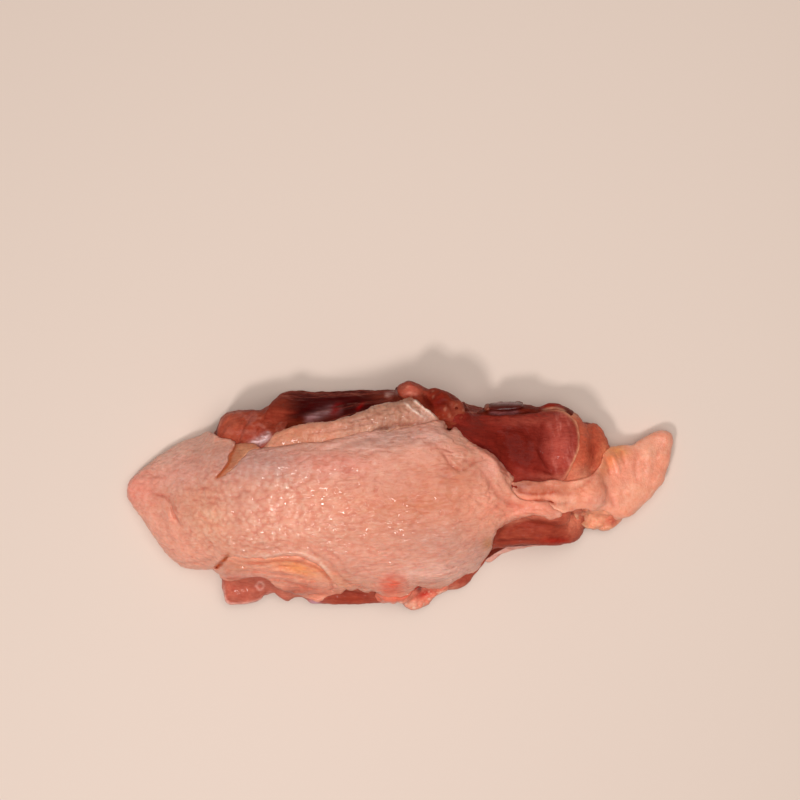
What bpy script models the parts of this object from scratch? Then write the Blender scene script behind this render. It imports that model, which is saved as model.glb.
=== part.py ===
"""A raw chicken back, skin side up: the rib half of the spine under its skin, with the loose neck
skin at one end and the bare pelvis muscles and the tail at the other. It rests on its cut rib ends
over the hollow of the ribs.

Lengths in the tables are millimetres and MM turns them into metres. +X runs from the neck to the
tail, +Y to the far side, +Z up. The finished solid has the middle of its footprint at the origin
and its lowest face at height 0.
"""

import math

import bmesh
import bpy
from mathutils import Matrix, Vector

MM = 0.001

# Driving dimensions
RIDGE_HEIGHT = 40.0
RIDGE_SHIFT = 3.0
RIDGE_SHIFT_REACH = 70.0
SKIN_THICKNESS = 2.4
SKIN_LEAST_HEIGHT = 2.6
HOLLOW_START = -84.0
HOLLOW_END = 44.0
HOLLOW_HALF_WIDTH = 29.0
HOLLOW_HEIGHT = 27.0
RIB_PITCH = 12.0
RIB_RELIEF = 1.4
RIB_SLANT = 0.3
SPINE_RELIEF = 6.0
SPINE_HALF_WIDTH = 6.0
SOLE_SINK = 2.0
HOLLOW_SINK = 4.0
GROUND_SIZE = (300.0, 200.0, 40.0)

# How round the shapes are: powers of the ellipses that they follow, and 0.5 for a square root
ROUND = 0.5
RIM_STEEPNESS = 8.0
PAD_POWER = 0.8
STRIP_POWER = 6.0
HOLLOW_END_POWER = 2.4
HOLLOW_ROOF_POWER = 0.8

# Fineness of the shapes and of the finished mesh
STATIONS = 60
PAD_STATIONS = 20
ARC_STEPS = 24
LOBE_SUBDIVISIONS = 3
VOXEL = 1.1
SMOOTHING = 0.5
SMOOTHING_STEPS = 2
TRIANGLE_SHARE = 0.115

FLESH_COLOUR = (0.7, 0.28, 0.18, 1.0)
FLESH_ROUGHNESS = 0.35

# Where the body meets the ground, as (x, y), on the far and on the near side
FAR_FOOT = (
    (-103, 3), (-96, 11), (-85, 18), (-73, 22), (-67, 28), (-58, 32), (-51, 33),
    (-43, 38.5), (0, 40), (20, 37), (34, 33.5), (62, 33), (71, 27), (77, 18),
)
NEAR_FOOT = (
    (-103, 1), (-97, -9), (-88, -22), (-80, -28), (-70, -29), (-62, -35), (-40, -38),
    (0, -39), (16, -36), (28, -29), (38, -20), (62, -16), (72, -10), (77, 0),
)
# Height of the back along the ridge, as (x, share of the ridge height)
RIDGE = (
    (-103, 0.07), (-97, 0.17), (-88, 0.33), (-76, 0.56), (-62, 0.8), (-42, 0.94), (-15, 1.0),
    (15, 0.97), (32, 0.82), (46, 0.62), (62, 0.54), (72, 0.4), (77, 0.2),
)
# How full the flanks are: (power of the distance from the ridge, power of what is left)
FAR_FLANK = (3.6, 0.66)
NEAR_FLANK = (2.6, 0.7)

# The skin's cut edges, as (x, y). It ends in a ribbon that lies along the spine
SKIN_FAR = (
    (-103, 2.5), (-96, 10), (-85, 17), (-73, 21), (-64, 21), (-57, 17), (-28, 20), (0, 25),
    (16, 28), (24, 22), (35, 15), (42, 7), (48, -2), (60, -5), (63, -7),
)
SKIN_NEAR = (
    (-103, 0.5), (-97, -9), (-88, -21.5), (-80, -27.5), (-70, -28.5), (-60, -31), (-48, -30),
    (-36, -36), (-2, -37), (10, -35), (24, -31), (30, -25), (35, -18), (38, -13), (46, -8),
    (60, -9.5), (63, -8.5),
)

# Pads of meat, fat and loose skin, one row for each place along x:
# (x, far edge, near edge, lowest, highest)
PADS = {
    "tail": (
        (54, 8, -4, 6, 24), (66, 13, -6.5, 3, 20), (76, 16, -7.5, 1, 16.5),
        (84, 18.6, -9, 0.5, 13.5), (90, 19.5, -5, 0.5, 12), (96, 23, 1.5, 0.5, 10.5),
        (100, 24, 8, 1, 9), (103, 22.5, 18, 2, 6),
    ),
    "shoulder_meat": (
        (-69, 26, 18, 2, 15), (-66, 30.5, 14, 1, 24), (-58, 32.5, 12, 0, 29),
        (-50, 33, 14, 0, 31), (-43, 36, 18, 2, 28), (-36, 34, 22, 5, 24),
    ),
    "blade_fat": (
        (-50, 22, 17, 24, 31), (-42, 25.5, 17, 26, 36.5), (-24, 29, 19, 28, 38.5),
        (-8, 33.5, 23, 26, 37.5), (4, 35, 26, 24, 36.5), (14, 32.5, 27, 24, 33),
    ),
    "near_muscle": (
        (33, -14, -19, 1, 12), (38, -8, -20, 0, 21), (50, -3, -19.5, 0, 23),
        (60, -3, -19, 0, 20), (67, -5, -18, 0.5, 14), (70, -9, -14, 2, 8),
    ),
    "rib_flap": (
        (-67, -30, -38, 0, 7), (-64, -26, -42, 0, 10), (-56, -24, -41.5, 0, 11),
        (-48, -24, -37.5, 0, 12), (-42, -26, -41, 0, 10), (-37, -28, -38, 0, 9),
    ),
    "rib_edge": (
        (-40, -30, -37, 0, 8), (-33, -28, -42, 0, 9), (-20, -28, -42, 0, 9.5),
        (-4, -28, -41.5, 0, 8), (2, -30, -38, 0, 7),
    ),
    "edge_tip": (
        (0, -32, -38, 0, 8), (4, -30, -43.5, 0, 9), (11, -30, -42, 0, 8), (17, -32, -36.5, 0, 7),
    ),
    "pelvis_edge": (
        (12, -27, -34, 0, 8), (18, -24, -36.5, 0, 8), (25, -22, -35, 0, 7),
        (30, -20, -29, 0, 6), (40, -18, -22, 0, 5), (46, -16, -19.5, 0, 3.5),
    ),
    "tail_flap": (
        (66, -5, -11, 2, 9), (71, -4, -13, 1, 9), (78, -4, -14, 1, 8), (84, -6, -12, 2, 6),
    ),
}

# Round lobes, as (centre, radii, turn about Z in degrees)
LOBES = {
    "blade_end": ((5, 37.5, 23), (7.5, 5.5, 8), -15),
    "blade_lobe": ((17, 33, 23), (10, 6.5, 9.5), -35),
    "front_oyster": ((42, 18, 16), (22, 17, 12.5), -5),
    "back_oyster": ((61.5, 17.5, 15.5), (10.5, 15.5, 12), 6),
    "pelvis_side": ((70, 16, 9), (9.5, 12.5, 9.5), 0),
    "oyster_rim": ((57, 31, 9), (8, 3.8, 8), 0),
    "edge_fat": ((-38, -30.5, 12), (13, 6, 6), -8),
    "red_lump": ((-1, -34, 9.5), (7.5, 6.5, 6.5), 0),
}

# Long round strips, as (start, end, half-width, half-height)
STRIPS = {
    "sacrum": ((26, 3, 25), (76, 2, 15), 8.5, 7.5),
    "hip_bone": ((33, 32.5, 15), (48, 32.5, 14), 3.0, 3.0),
    "skin_ribbon": ((40, -1, 26), (63, -7.5, 23), 4.5, 3.0),
}


def through(points):
    """A smooth function that passes through the points, without overshooting between them."""
    xs = [float(x) for x, _ in points]
    ys = [float(y) for _, y in points]
    rises = [(b - a) / (d - c) for a, b, c, d in zip(ys, ys[1:], xs, xs[1:])]
    slopes = [rises[0]]
    for before, after in zip(rises, rises[1:]):
        slopes.append(0.0 if before * after <= 0 else 2 * before * after / (before + after))
    slopes.append(rises[-1])

    def at(x):
        x = min(max(x, xs[0]), xs[-1])
        i = max(k for k in range(len(xs) - 1) if xs[k] <= x)
        width = xs[i + 1] - xs[i]
        t = (x - xs[i]) / width
        start = (1 + 2 * t) * (1 - t) ** 2 * ys[i] + t * (1 - t) ** 2 * width * slopes[i]
        end = t * t * (3 - 2 * t) * ys[i + 1] - t * t * (1 - t) * width * slopes[i + 1]
        return start + end

    return at


far_foot = through(FAR_FOOT)
near_foot = through(NEAR_FOOT)
ridge = through(RIDGE)
skin_far = through(SKIN_FAR)
skin_near = through(SKIN_NEAR)


def stations(start, end, count):
    """Places from start to end that crowd towards both, so that round ends stay round."""
    angles = [math.pi * (i + 0.5) / count for i in range(count)]
    return [start + (end - start) * (1 - math.cos(angle)) / 2 for angle in angles]


def ridge_y(x):
    """The ridge lies midway between the two feet, and a little further over along the ribs."""
    middle = (far_foot(x) + near_foot(x)) / 2
    return middle + RIDGE_SHIFT * math.exp(-((x / RIDGE_SHIFT_REACH) ** 2))


def back_height(x, y):
    """Height of the body's surface over the ground, 0 outside its feet."""
    middle = ridge_y(x)
    foot, (power, rest) = (far_foot(x), FAR_FLANK) if y > middle else (near_foot(x), NEAR_FLANK)
    share = min(abs((y - middle) / (foot - middle)), 1.0)
    return RIDGE_HEIGHT * ridge(x) * (1 - share**power) ** rest


def new_object(name, bm, collection):
    """Turns a bmesh in millimetres into an object in metres, with its faces pointing out."""
    bmesh.ops.recalc_face_normals(bm, faces=bm.faces)
    bmesh.ops.scale(bm, vec=(MM, MM, MM), verts=bm.verts)
    data = bpy.data.meshes.new(name)
    bm.to_mesh(data)
    bm.free()
    obj = bpy.data.objects.new(name, data)
    collection.objects.link(obj)
    return obj


def loft(name, rings, collection):
    """A closed solid through rings of points, each ring with the same number of points."""
    bm = bmesh.new()
    loops = [[bm.verts.new(point) for point in ring] for ring in rings]
    for one, other in zip(loops, loops[1:]):
        for i in range(len(one)):
            j = (i + 1) % len(one)
            bm.faces.new((one[i], one[j], other[j], other[i]))
    bm.faces.new(loops[0])
    bm.faces.new(reversed(loops[-1]))
    return new_object(name, bm, collection)


def make_body(collection):
    """The rib cage and pelvis as one dome from foot to foot."""
    rings = []
    for x in stations(FAR_FOOT[0][0], FAR_FOOT[-1][0], STATIONS):
        middle = ridge_y(x)
        ring = []
        for k in range(ARC_STEPS + 1):
            angle = math.pi * k / ARC_STEPS
            foot = far_foot(x) if angle < math.pi / 2 else near_foot(x)
            y = middle + (foot - middle) * abs(math.cos(angle))
            ring.append((x, y, back_height(x, y)))
        ring += [(x, ring[-1][1], -SOLE_SINK), (x, ring[0][1], -SOLE_SINK)]
        rings.append(ring)
    return loft("body", rings, collection)


def make_skin(collection):
    """The skin: a sheet over the back that stands proud of the meat and ends in its own cut edges."""
    rings = []
    for x in stations(SKIN_FAR[0][0], SKIN_FAR[-1][0], STATIONS):
        far, near = skin_far(x), skin_near(x)
        top, under = [], []
        for k in range(ARC_STEPS + 1):
            share = k / ARC_STEPS
            y = far + (near - far) * share
            height = max(back_height(x, y), SKIN_LEAST_HEIGHT)
            rim = min(1.0, RIM_STEEPNESS * min(share, 1 - share)) ** ROUND
            top.append((x, y, height + SKIN_THICKNESS * rim))
            under.append((x, y, height - SKIN_THICKNESS))
        rings.append(top + under[::-1])
    return loft("skin", rings, collection)


def fuller(share):
    """A share from -1 to 1, raised to the pads' power with its sign kept."""
    return math.copysign(abs(share) ** PAD_POWER, share)


def make_pad(name, rows, collection):
    """A soft pad with an oval section, from its edges and heights along x."""
    xs = [row[0] for row in rows]
    columns = list(zip(*rows))[1:]
    far, near, low, high = (through(list(zip(xs, column))) for column in columns)
    rings = []
    for x in stations(xs[0], xs[-1], PAD_STATIONS):
        middle = Vector((x, (far(x) + near(x)) / 2, (low(x) + high(x)) / 2))
        ring = []
        for k in range(ARC_STEPS):
            angle = 2 * math.pi * k / ARC_STEPS
            across = fuller(math.cos(angle)) * (far(x) - near(x)) / 2
            up = fuller(math.sin(angle)) * (high(x) - low(x)) / 2
            ring.append(middle + Vector((0, across, up)))
        rings.append(ring)
    return loft(name, rings, collection)


def make_lobe(name, centre, radii, turn, collection):
    """A round lobe of meat or fat, turned about Z."""
    bm = bmesh.new()
    bmesh.ops.create_icosphere(bm, subdivisions=LOBE_SUBDIVISIONS, radius=1)
    turned = Matrix.Rotation(math.radians(turn), 4, "Z")
    place = Matrix.Translation(centre) @ turned @ Matrix.Diagonal((*radii, 1))
    bmesh.ops.transform(bm, matrix=place, verts=bm.verts)
    return new_object(name, bm, collection)


def make_strip(name, start, end, half_width, half_height, collection):
    """A strip with rounded ends and an oval section between two points."""
    start, end = Vector(start), Vector(end)
    along = end - start
    side = along.cross(Vector((0, 0, 1))).normalized()
    up = side.cross(along).normalized()
    rings = []
    for share in stations(0.0, 1.0, ARC_STEPS):
        swell = (1 - abs(2 * share - 1) ** STRIP_POWER) ** ROUND
        ring = []
        for k in range(ARC_STEPS):
            angle = 2 * math.pi * k / ARC_STEPS
            offset = side * half_width * math.cos(angle) + up * half_height * math.sin(angle)
            ring.append(start + along * share + offset * swell)
        rings.append(ring)
    return loft(name, rings, collection)


def make_hollow(collection):
    """The room under the ribs. Its roof carries the spine and the ribs as relief."""
    rings = []
    for x in stations(HOLLOW_START, HOLLOW_END, STATIONS):
        along = 2 * (x - HOLLOW_START) / (HOLLOW_END - HOLLOW_START) - 1
        swell = (1 - abs(along) ** HOLLOW_END_POWER) ** ROUND
        ring = []
        for k in range(ARC_STEPS + 1):
            angle = math.pi * k / ARC_STEPS
            y = HOLLOW_HALF_WIDTH * math.cos(angle)
            rib_phase = 2 * math.pi * (x + RIB_SLANT * abs(y)) / RIB_PITCH
            roof = HOLLOW_HEIGHT * math.sin(angle) ** HOLLOW_ROOF_POWER
            roof -= SPINE_RELIEF * math.exp(-((y / SPINE_HALF_WIDTH) ** 2))
            roof -= RIB_RELIEF * math.cos(rib_phase) * math.sin(angle)
            ring.append((x, ridge_y(x) + y * swell, max(roof, 0.0) * swell))
        ring += [(x, ring[-1][1], -HOLLOW_SINK), (x, ring[0][1], -HOLLOW_SINK)]
        rings.append(ring)
    return loft("hollow", rings, collection)


def make_ground(collection):
    """The plane that the back rests on, as the top of a large block."""
    bm = bmesh.new()
    bmesh.ops.create_cube(bm, size=1)
    bmesh.ops.scale(bm, vec=GROUND_SIZE, verts=bm.verts)
    bmesh.ops.translate(bm, vec=(0, 0, -GROUND_SIZE[2] / 2), verts=bm.verts)
    return new_object("ground", bm, collection)


def apply_modifiers(obj):
    bpy.context.view_layer.update()
    evaluated = obj.evaluated_get(bpy.context.evaluated_depsgraph_get())
    data = bpy.data.meshes.new_from_object(evaluated)
    obj.modifiers.clear()
    obj.data = data


def join(obj, collection):
    """Unites every object of the collection with the object, and removes them."""
    modifier = obj.modifiers.new("join", "BOOLEAN")
    modifier.operation = "UNION"
    modifier.operand_type = "COLLECTION"
    modifier.collection = collection
    modifier.solver = "EXACT"
    apply_modifiers(obj)
    for part in list(collection.objects):
        bpy.data.objects.remove(part)
    bpy.data.collections.remove(collection)


def cut(obj, cutter):
    """Cuts the cutter out of the object, and removes the cutter."""
    modifier = obj.modifiers.new("cut", "BOOLEAN")
    modifier.operation = "DIFFERENCE"
    modifier.object = cutter
    modifier.solver = "EXACT"
    apply_modifiers(obj)
    bpy.data.objects.remove(cutter)


def run_together(obj):
    """Runs the joined shapes into one another as flesh does, then thins the mesh where it is flat."""
    remesh = obj.modifiers.new("remesh", "REMESH")
    remesh.mode = "VOXEL"
    remesh.voxel_size = VOXEL * MM
    soften = obj.modifiers.new("soften", "SMOOTH")
    soften.factor = SMOOTHING
    soften.iterations = SMOOTHING_STEPS
    thin = obj.modifiers.new("thin", "DECIMATE")
    thin.ratio = TRIANGLE_SHARE
    apply_modifiers(obj)


def centre_on_origin(obj):
    """Puts the middle of the footprint at the origin, with the lowest face at height 0."""
    xs, ys, zs = zip(*(v.co for v in obj.data.vertices))
    middle = Vector(((min(xs) + max(xs)) / 2, (min(ys) + max(ys)) / 2, min(zs)))
    obj.data.transform(Matrix.Translation(-middle))


def flesh_material():
    material = bpy.data.materials.new("raw_chicken")
    material.use_nodes = True
    shader = material.node_tree.nodes["Principled BSDF"]
    shader.inputs["Base Color"].default_value = FLESH_COLOUR
    shader.inputs["Roughness"].default_value = FLESH_ROUGHNESS
    return material


def make_forms(collection):
    """Everything that grows on the body, from the neck to the tail."""
    make_skin(collection)
    for name, rows in PADS.items():
        make_pad(name, rows, collection)
    for name, (centre, radii, turn) in LOBES.items():
        make_lobe(name, centre, radii, turn, collection)
    for name, (start, end, half_width, half_height) in STRIPS.items():
        make_strip(name, start, end, half_width, half_height, collection)


def main():
    for obj in list(bpy.data.objects):
        bpy.data.objects.remove(obj)
    scene_collection = bpy.context.scene.collection
    forms = bpy.data.collections.new("forms")
    scene_collection.children.link(forms)

    back = make_body(scene_collection)
    back.name = "chicken_back"
    make_forms(forms)
    join(back, forms)
    cut(back, make_hollow(scene_collection))
    run_together(back)
    cut(back, make_ground(scene_collection))

    centre_on_origin(back)
    back.data.materials.append(flesh_material())
    back.data.shade_smooth()


main()
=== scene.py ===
"""Looks of the raw chicken back: skin, muscles, fat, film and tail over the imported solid.

Each tissue is a closed mesh drawn from a distance field, in millimetres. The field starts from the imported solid, so
that a tissue lies where the solid is, and is bounded by the tissue's outline. Outlines, folds and patches of colour
are placed on a chart, in pixels of the photograph's 800 by 800 frame seen from straight above.
"""

import math

import bpy
import numpy as np
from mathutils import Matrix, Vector
from mathutils.bvhtree import BVHTree


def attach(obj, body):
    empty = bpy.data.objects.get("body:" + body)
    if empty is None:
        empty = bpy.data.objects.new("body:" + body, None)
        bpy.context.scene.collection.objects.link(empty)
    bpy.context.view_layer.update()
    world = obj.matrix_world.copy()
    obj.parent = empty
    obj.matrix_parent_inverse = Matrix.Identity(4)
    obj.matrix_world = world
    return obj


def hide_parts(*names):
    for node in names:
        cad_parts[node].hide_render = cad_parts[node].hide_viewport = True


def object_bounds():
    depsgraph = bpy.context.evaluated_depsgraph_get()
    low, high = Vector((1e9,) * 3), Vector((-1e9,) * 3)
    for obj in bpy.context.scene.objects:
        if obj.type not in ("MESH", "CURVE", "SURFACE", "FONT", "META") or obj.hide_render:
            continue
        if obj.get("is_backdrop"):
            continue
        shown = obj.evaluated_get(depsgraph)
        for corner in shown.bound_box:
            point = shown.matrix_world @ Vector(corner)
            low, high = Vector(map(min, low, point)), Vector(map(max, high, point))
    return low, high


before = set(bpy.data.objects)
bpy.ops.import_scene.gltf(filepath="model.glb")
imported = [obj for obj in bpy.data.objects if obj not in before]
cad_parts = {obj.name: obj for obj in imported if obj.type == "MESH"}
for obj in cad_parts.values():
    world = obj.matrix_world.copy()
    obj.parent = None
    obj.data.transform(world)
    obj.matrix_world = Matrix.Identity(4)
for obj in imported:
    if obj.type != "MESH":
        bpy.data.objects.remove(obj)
cad_low, cad_high = (np.array(corner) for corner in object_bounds())

# Camera: straight above the middle of the photograph
MM = 0.001
FRAME_PIXELS = 800
PIXEL = 0.38
CAMERA_HEIGHT = 600.0
SENSOR = 36.0
FRAME_CENTRE = (400.0, 400.0)
ORIGIN_PIXEL = (399.0, 494.0)
CENTRE_X = (FRAME_CENTRE[0] - ORIGIN_PIXEL[0]) * PIXEL
CENTRE_Y = (ORIGIN_PIXEL[1] - FRAME_CENTRE[1]) * PIXEL

# The chart and its curves, in pixels. A stroke has faded out at STROKE_REACH times its width
CHART_LOW = (105.0, 362.0)
CHART_HIGH = (697.0, 632.0)
CHART_STEP = 0.75
CURVE_STEPS = 6
OUTLINE_REACH = 30
STROKE_REACH = 3.5

# The lattices, in millimetres, and how far the solid's top is carried outwards, in steps of the coarse one
CAD_STEP = 1.5
CAD_REACH = 9.0
ROOF_REACH = 3
BLOCK_LOW = -1.0
BLOCK_HIGH = 46.0
BLOCK_MARGIN = 3.0
LOWEST = 0.05

# The rays that find the solid's inside start a little beside the lattice and go on a little past each hit
RAY_OFFSET = 1e-3
RAY_STEP = 1e-2
MOST_CROSSINGS = 40

# The light that falls on the flesh, the gloss that it adds, and the range of the flesh's own colours, all linear
LIGHT = np.array((0.98, 0.94, 0.90))
VEIL = np.array((0.006, 0.007, 0.008))
DARKEST, PALEST = 0.003, 0.95

# Forms, in millimetres. A tissue lies deeper by UNDER_SKIN where the skin covers it
RIB_PITCH = 12.0
JOINT_PITCH = 9.0
SPINE_HALF_WIDTH = 6.0
RIDGE_Y = 2.0
UNDER_SKIN = 1.6
CAP_SHAKE = 1.2
CAP_WAVE = 6.0
CORE_SUNK = 1.0
CORE_STEP = 0.75
CORE_MARGIN = 2.0


# ---------------------------------------------------------------- numbers


def hashed(i, j, k, seed):
    """A repeatable number from 0 to 1 for each lattice point."""
    n = (i * 374761393 + j * 668265263 + k * 2147483647 + seed * 1274126177).astype(np.uint32)
    n = (n ^ (n >> np.uint32(13))) * np.uint32(1274126177)
    n = (n ^ (n >> np.uint32(15))) * np.uint32(2246822519)
    return ((n ^ (n >> np.uint32(16))) & np.uint32(0xFFFFFF)).astype(np.float32) / 0xFFFFFF


def noise(x, y, z, seed=0):
    """Smooth noise from -1 to 1 with cells of size 1."""
    x, y, z = np.broadcast_arrays(np.asarray(x, np.float32), np.asarray(y, np.float32), np.asarray(z, np.float32))
    base = [np.floor(c).astype(np.int64) for c in (x, y, z)]
    part = [c - b for c, b in zip((x, y, z), base)]
    fade = [p * p * p * (p * (p * 6 - 15) + 10) for p in part]
    total = 0
    for corner in range(8):
        step = [(corner >> axis) & 1 for axis in range(3)]
        lattice = [(b + s) & 0xFFFF for b, s in zip(base, step)]
        away = [p - s for p, s in zip(part, step)]
        slope = [hashed(*lattice, seed * 3 + axis) * 2 - 1 for axis in range(3)]
        weight = 1
        for f, s in zip(fade, step):
            weight = weight * (f if s else 1 - f)
        total = total + weight * sum(a * g for a, g in zip(away, slope))
    return total * 1.7


def octaves(x, y, z, count=3, seed=0):
    return sum(noise(x * 2**i, y * 2**i, z * 2**i, seed + i) * 0.5**i for i in range(count))


def smooth_min(a, b, k):
    h = np.clip(0.5 + 0.5 * (b - a) / k, 0, 1)
    return b + (a - b) * h - k * h * (1 - h)


def smooth_max(a, b, k):
    return -smooth_min(-a, -b, k)


def smooth_step(low, high, x):
    t = np.clip((x - low) / (high - low), 0, 1)
    return t * t * (3 - 2 * t)


def srgb(*levels):
    """Linear colour of a 0 to 255 picture colour."""
    c = np.array(levels, float) / 255
    return np.where(c <= 0.04045, c / 12.92, ((c + 0.055) / 1.055) ** 2.4)


def own_colour(*levels):
    """The flesh's own linear colour, from the 0 to 255 colour that it shows in the studio's light."""
    return np.clip((srgb(*levels) - VEIL) / LIGHT, DARKEST, PALEST)


# ---------------------------------------------------------------- the chart

chart_u, chart_v = np.meshgrid(
    np.arange(CHART_LOW[0], CHART_HIGH[0], CHART_STEP),
    np.arange(CHART_LOW[1], CHART_HIGH[1], CHART_STEP),
    indexing="ij",
)


def smooth_curve(points, closed=False):
    """A Catmull-Rom curve through the points."""
    p = np.array(points, float)
    if closed:
        ring = np.vstack([p[-1:], p, p[:2]])
    else:
        ring = np.vstack([2 * p[0] - p[1], p, 2 * p[-1] - p[-2]])
    t = (np.arange(CURVE_STEPS) / CURVE_STEPS)[:, None]
    spans = []
    for a, b, c, d in zip(ring, ring[1:], ring[2:], ring[3:]):
        bend = (2 * a - 5 * b + 4 * c - d) * t * t + (3 * b - a - 3 * c + d) * t**3
        spans.append(0.5 * (2 * b + (c - a) * t + bend))
    return np.vstack(spans + [p[:1] if closed else p[-1:]])


def distance_to(curve, reach):
    """Distance of each chart point to the curve, up to reach, and the share of the curve before the nearest point."""
    near = np.full(chart_u.shape, float(reach))
    along = np.zeros(chart_u.shape)
    first = np.floor((curve.min(0) - reach - CHART_LOW) / CHART_STEP).astype(int).clip(0)
    last = np.ceil((curve.max(0) + reach - CHART_LOW) / CHART_STEP).astype(int)
    window = (slice(first[0], last[0]), slice(first[1], last[1]))
    u, v = chart_u[window], chart_v[window]
    for i, (a, b) in enumerate(zip(curve, curve[1:])):
        edge = b - a
        t = np.clip(((u - a[0]) * edge[0] + (v - a[1]) * edge[1]) / max(edge @ edge, 1e-9), 0, 1)
        d = np.hypot(u - a[0] - t * edge[0], v - a[1] - t * edge[1])
        closer = d < near[window]
        near[window] = np.where(closer, d, near[window])
        along[window] = np.where(closer, (i + t) / (len(curve) - 1), along[window])
    return near, along


def outline(points, ragged):
    """Signed distance to a closed outline in millimetres, negative inside. Ragged shakes it, in millimetres."""
    curve = smooth_curve(points, closed=True)
    near, _ = distance_to(curve, OUTLINE_REACH)
    inside = np.zeros(chart_u.shape, bool)
    for a, b in zip(curve, curve[1:]):
        crosses = (a[1] > chart_v) != (b[1] > chart_v)
        rise = b[1] - a[1] if b[1] != a[1] else 1e-9
        inside ^= crosses & (chart_u < a[0] + (b[0] - a[0]) * (chart_v - a[1]) / rise)
    return np.where(inside, -near, near) * PIXEL + ragged * chart_noise(7, 7, len(points), 2)


def stroke(points, width, taper=0.15):
    """A soft line through the points, 1 on the line and fading over width, thinner at its ends."""
    near, along = distance_to(smooth_curve(points), STROKE_REACH * width)
    ends = np.clip(np.minimum(along, 1 - along) / taper, 0, 1) if taper else 1
    return np.exp(-((near / width) ** 2)) * ends


def spot(u, v, radius_u, radius_v=None, turn=0.0):
    """A soft round patch, 1 in the middle."""
    radius_v = radius_v or radius_u
    c, s = math.cos(math.radians(turn)), math.sin(math.radians(turn))
    du, dv = chart_u - u, chart_v - v
    return np.exp(-(((du * c + dv * s) / radius_u) ** 2) - ((dv * c - du * s) / radius_v) ** 2)


def chart_noise(size_u, size_v, seed, count=2):
    return octaves(chart_u / size_u, chart_v / size_v, 0.5, count, seed)


def flecks(low, high, size_u, size_v, seed, count=2):
    """Soft flecks of the chart's noise: 0 where it is under low and 1 where it is over high."""
    return smooth_step(low, high, chart_noise(size_u, size_v, seed, count))


def look(chart, u, v):
    """The chart's value at pixels u, v, which may be arrays of any matching shape."""
    i = np.clip((u - CHART_LOW[0]) / CHART_STEP, 0, chart.shape[0] - 1.001)
    j = np.clip((v - CHART_LOW[1]) / CHART_STEP, 0, chart.shape[1] - 1.001)
    i, j = np.broadcast_arrays(i, j)
    i0, j0 = i.astype(np.int32), j.astype(np.int32)
    fi, fj = i - i0, j - j0
    if chart.ndim == 3:
        fi, fj = fi[..., None], fj[..., None]
    chart = chart.astype(np.float32)
    near = chart[i0, j0] * (1 - fi) + chart[i0 + 1, j0] * fi
    far = chart[i0, j0 + 1] * (1 - fi) + chart[i0 + 1, j0 + 1] * fi
    return near * (1 - fj) + far * fj


def pixels(x, y, z):
    """The photograph's pixel of a point in millimetres."""
    grow = CAMERA_HEIGHT / (CAMERA_HEIGHT - z) / PIXEL
    return FRAME_CENTRE[0] + (x - CENTRE_X) * grow, FRAME_CENTRE[1] - (y - CENTRE_Y) * grow


def box_of(points):
    """The lowest and highest corner, in millimetres, of what an outline in pixels covers at any height."""
    u, v = np.array(points, float).T
    shrink = np.array([[1.0], [1 - BLOCK_HIGH / CAMERA_HEIGHT]])
    x = CENTRE_X + (u - FRAME_CENTRE[0]) * PIXEL * shrink
    y = CENTRE_Y - (v - FRAME_CENTRE[1]) * PIXEL * shrink
    low = (x.min() - BLOCK_MARGIN, y.min() - BLOCK_MARGIN, BLOCK_LOW)
    return low, (x.max() + BLOCK_MARGIN, y.max() + BLOCK_MARGIN, BLOCK_HIGH)


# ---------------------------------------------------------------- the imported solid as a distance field


class Lattice:
    """Values on a regular lattice of points in millimetres."""

    def __init__(self, low, high, step):
        self.low = np.array(low, float)
        self.step = step
        counts = np.ceil((np.array(high) - self.low) / step).astype(int) + 1
        self.axes = [self.low[a] + step * np.arange(counts[a]) for a in range(3)]
        self.x, self.y, self.z = np.meshgrid(*(a.astype(np.float32) for a in self.axes), indexing="ij", sparse=True)


def solid_distance(node):
    """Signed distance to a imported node, on a coarse lattice, negative inside."""
    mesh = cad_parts[node].data
    points = [v.co / MM for v in mesh.vertices]
    tree = BVHTree.FromPolygons(points, [p.vertices[:] for p in mesh.polygons])
    margin = CAD_REACH + CAD_STEP
    coarse = Lattice(cad_low / MM - margin, cad_high / MM + margin, CAD_STEP)
    shape = tuple(len(a) for a in coarse.axes)
    distance = np.full(shape, CAD_REACH, np.float32)
    up = Vector((0, 0, 1))
    for i, x in enumerate(coarse.axes[0]):
        for j, y in enumerate(coarse.axes[1]):
            crossings = []
            hit = tree.ray_cast(Vector((x + RAY_OFFSET, y + RAY_OFFSET, coarse.low[2] - 1)), up)
            while hit[0] is not None and len(crossings) < MOST_CROSSINGS:
                crossings.append(hit[0].z)
                hit = tree.ray_cast(hit[0] + up * RAY_STEP, up)
            inside = np.searchsorted(np.array(crossings), coarse.axes[2]) % 2
            for k, z in enumerate(coarse.axes[2]):
                found = tree.find_nearest(Vector((x, y, z)), CAD_REACH)
                if found[0] is not None:
                    distance[i, j, k] = found[3]
            distance[i, j] *= 1 - 2 * inside
    coarse.values = distance
    return coarse


def spline_weights(coarse, fine, axis):
    """What each coarse point gives to each fine one along an axis, through smooth cubic splines."""
    place = (fine.axes[axis] - coarse.low[axis]) / coarse.step
    away = np.abs(place[:, None] - np.arange(len(coarse.axes[axis]))[None, :])
    inner = 2 / 3 - away**2 + away**3 / 2
    outer = (2 - away) ** 3 / 6
    return np.where(away < 1, inner, np.where(away < 2, outer, 0)).astype(np.float32)


def resample(coarse, fine):
    """The coarse lattice's values on the fine one's points."""
    values = coarse.values
    for axis in range(3):
        values = np.moveaxis(np.tensordot(spline_weights(coarse, fine, axis), values, axes=(1, axis)), 0, axis)
    return values


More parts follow.
